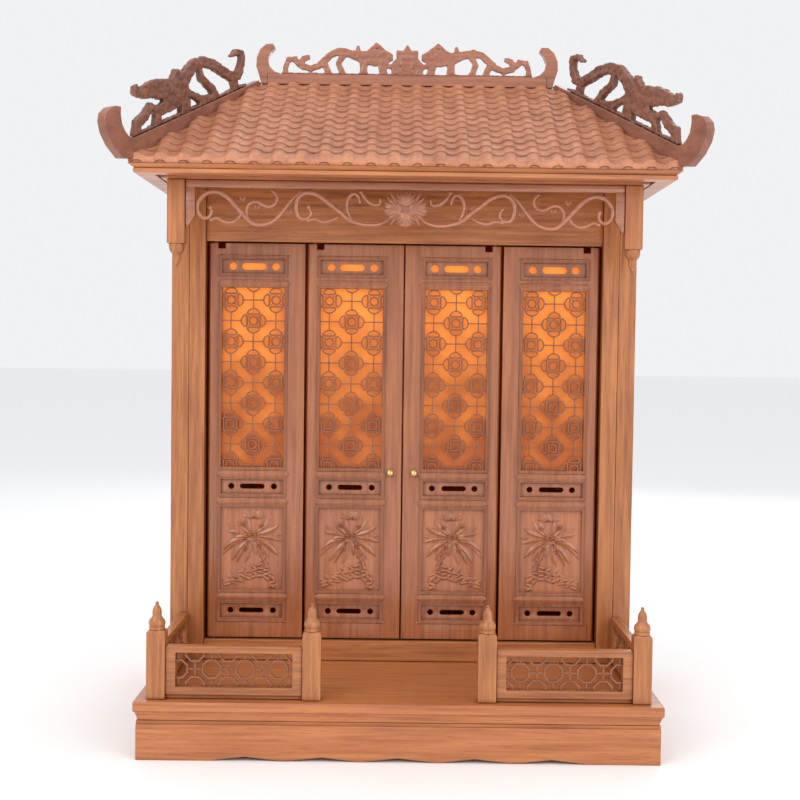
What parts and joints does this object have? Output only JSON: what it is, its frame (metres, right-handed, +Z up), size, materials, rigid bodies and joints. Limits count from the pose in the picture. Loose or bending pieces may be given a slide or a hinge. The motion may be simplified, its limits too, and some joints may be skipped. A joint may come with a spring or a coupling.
{
  "type": "household altar cabinet",
  "caption": "Carved timber household shrine: hollow case with pivoted lattice doors, a railed front terrace and a tiled hip roof with a carved ridge and hips.",
  "frame": {"origin": "middle of the base on the floor", "axes": "+Z up, -Y out of the front with the doors, +X to the right as seen from the front"},
  "size_m": [0.7116, 0.48, 0.8855],
  "materials": {
    "case_wood": "satin lacquer",
    "base_wood": "satin lacquer",
    "door_wood": "gloss lacquer",
    "lattice_wood": "gloss lacquer",
    "roof_wood": "satin lacquer",
    "carved_wood": "satin lacquer",
    "amber_pane": "gloss amber sheet",
    "brass": "polished"
  },
  "bodies": {
    "cabinet": {"base_slab": "base_wood", "apron_front": "base_wood", "apron_back": "base_wood", "apron_left": "base_wood", "apron_right": "base_wood", "rail_post_outer_left": "case_wood", "finial_outer_left": "case_wood", "rail_post_inner_left": "case_wood", "finial_inner_left": "case_wood", "rail_frame_left": "case_wood", "rail_lattice_left": "lattice_wood", "side_rail_left": "case_wood", "side_lattice_left": "lattice_wood", "side_wall_left": "case_wood", "jamb_left": "case_wood", "hanging_post_left": "case_wood", "pendant_left": "case_wood", "hip_beam_front_left": "roof_wood", "hip_beam_back_left": "roof_wood", "hip_dragon_left": "carved_wood", "rail_post_outer_right": "case_wood", "finial_outer_right": "case_wood", "rail_post_inner_right": "case_wood", "finial_inner_right": "case_wood", "rail_frame_right": "case_wood", "rail_lattice_right": "lattice_wood", "side_rail_right": "case_wood", "side_lattice_right": "lattice_wood", "side_wall_right": "case_wood", "jamb_right": "case_wood", "hanging_post_right": "case_wood", "pendant_right": "case_wood", "hip_beam_front_right": "roof_wood", "hip_beam_back_right": "roof_wood", "hip_dragon_right": "carved_wood", "back_board": "case_wood", "sill": "case_wood", "lintel": "case_wood", "spandrel": "door_wood", "eave_board": "roof_wood", "roof_shell": "roof_wood", "ridge_beam": "roof_wood", "ridge_crest": "roof_wood"},
    "door_1": {"leaf_1": "door_wood", "leaf_lattice_1": "lattice_wood", "leaf_pane_1": "amber_pane"},
    "door_2": {"leaf_2": "door_wood", "leaf_lattice_2": "lattice_wood", "leaf_pane_2": "amber_pane", "knob_left": "brass"},
    "door_3": {"leaf_3": "door_wood", "leaf_lattice_3": "lattice_wood", "leaf_pane_3": "amber_pane", "knob_right": "brass"},
    "door_4": {"leaf_4": "door_wood", "leaf_lattice_4": "lattice_wood", "leaf_pane_4": "amber_pane"}
  },
  "joints": [
    {"name": "door_1_hinge", "type": "hinge", "parent": "cabinet", "child": "door_1", "pos_m": [-0.245, -0.004, 0.353], "axis": [0, 0, -1], "range_deg": [0, 90]},
    {"name": "door_2_hinge", "type": "hinge", "parent": "cabinet", "child": "door_2", "pos_m": [-0.1175, -0.004, 0.353], "axis": [0, 0, -1], "range_deg": [0, 90]},
    {"name": "door_3_hinge", "type": "hinge", "parent": "cabinet", "child": "door_3", "pos_m": [0.1175, -0.004, 0.353], "axis": [0, 0, 1], "range_deg": [0, 90]},
    {"name": "door_4_hinge", "type": "hinge", "parent": "cabinet", "child": "door_4", "pos_m": [0.245, -0.004, 0.353], "axis": [0, 0, 1], "range_deg": [0, 90]}
  ]
}
